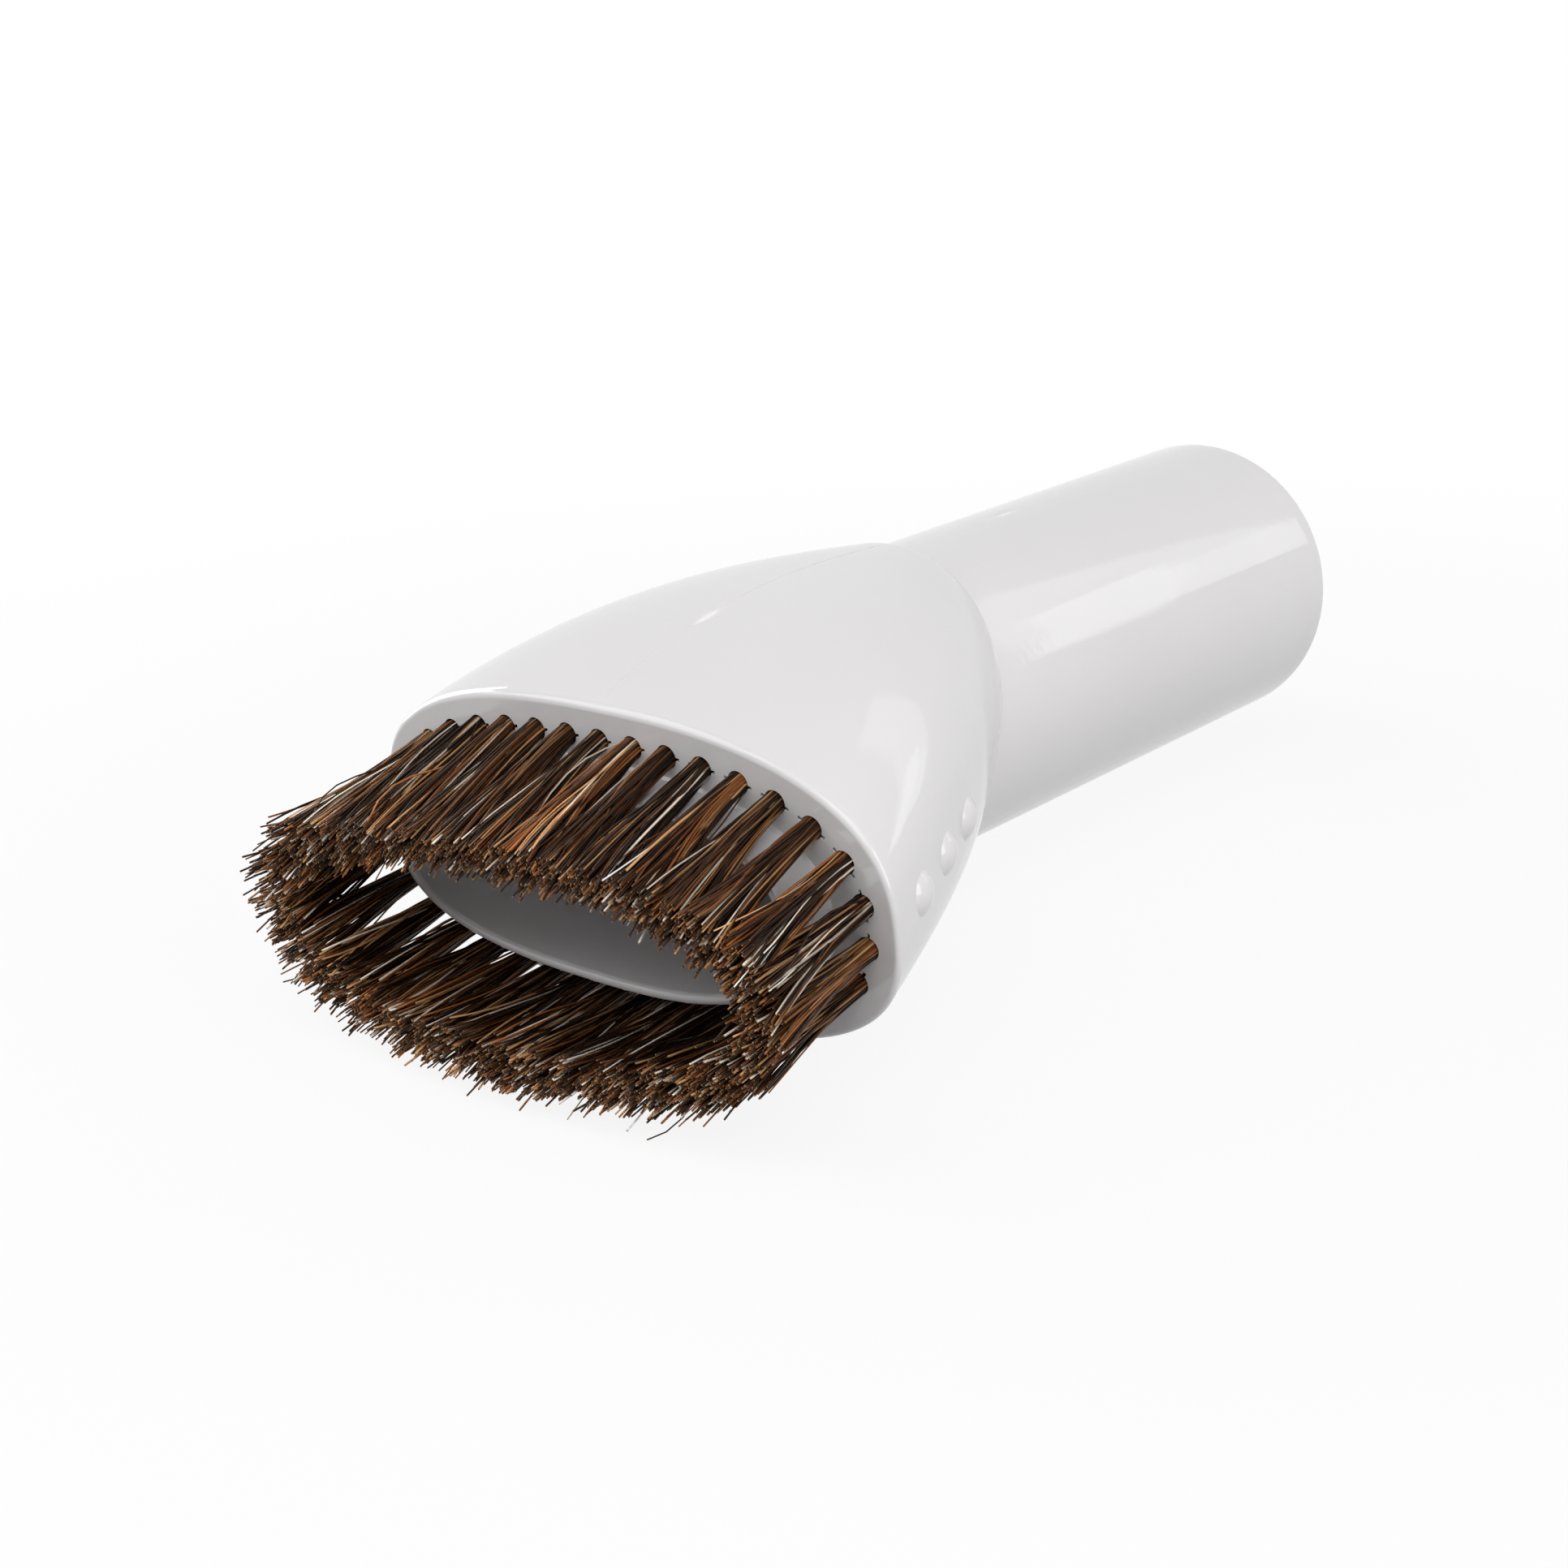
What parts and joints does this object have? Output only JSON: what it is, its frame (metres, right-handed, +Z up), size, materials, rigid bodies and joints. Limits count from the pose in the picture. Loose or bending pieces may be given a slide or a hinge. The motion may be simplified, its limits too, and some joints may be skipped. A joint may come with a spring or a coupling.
{
  "type": "vacuum dusting brush",
  "caption": "Oval dusting brush for a vacuum cleaner: a round socket neck, a flared one-piece head, and a row of natural bristle tufts round the duct's lip.",
  "frame": {"origin": "centre of the neck's open end, on the socket's axis", "axes": "+X runs along the neck and out of the socket, so the mouth and its bristles face -X; +Z is up from the broad face; +Y runs along the mouth's long way"},
  "size_m": [0.1448, 0.0704, 0.0448],
  "materials": {
    "body_plastic": "glossy moulded plastic, pale warm grey",
    "bristle": "natural animal hair, dark brown with some tan and pale hairs",
    "anchor_metal": "plain flat wire"
  },
  "bodies": {
    "root": {"body": "body_plastic", "tuft_anchors": "anchor_metal", "tuft_01": "bristle", "tuft_02": "bristle", "tuft_03": "bristle", "tuft_04": "bristle", "tuft_05": "bristle", "tuft_06": "bristle", "tuft_07": "bristle", "tuft_08": "bristle", "tuft_09": "bristle", "tuft_10": "bristle", "tuft_11": "bristle", "tuft_12": "bristle", "tuft_13": "bristle", "tuft_14": "bristle", "tuft_15": "bristle", "tuft_16": "bristle", "tuft_17": "bristle", "tuft_18": "bristle", "tuft_19": "bristle", "tuft_20": "bristle", "tuft_21": "bristle", "tuft_22": "bristle", "tuft_23": "bristle", "tuft_24": "bristle", "tuft_25": "bristle", "tuft_26": "bristle", "tuft_27": "bristle", "tuft_28": "bristle", "tuft_29": "bristle", "tuft_30": "bristle", "tuft_31": "bristle", "tuft_32": "bristle", "tuft_33": "bristle", "tuft_34": "bristle"}
  },
  "joints": []
}
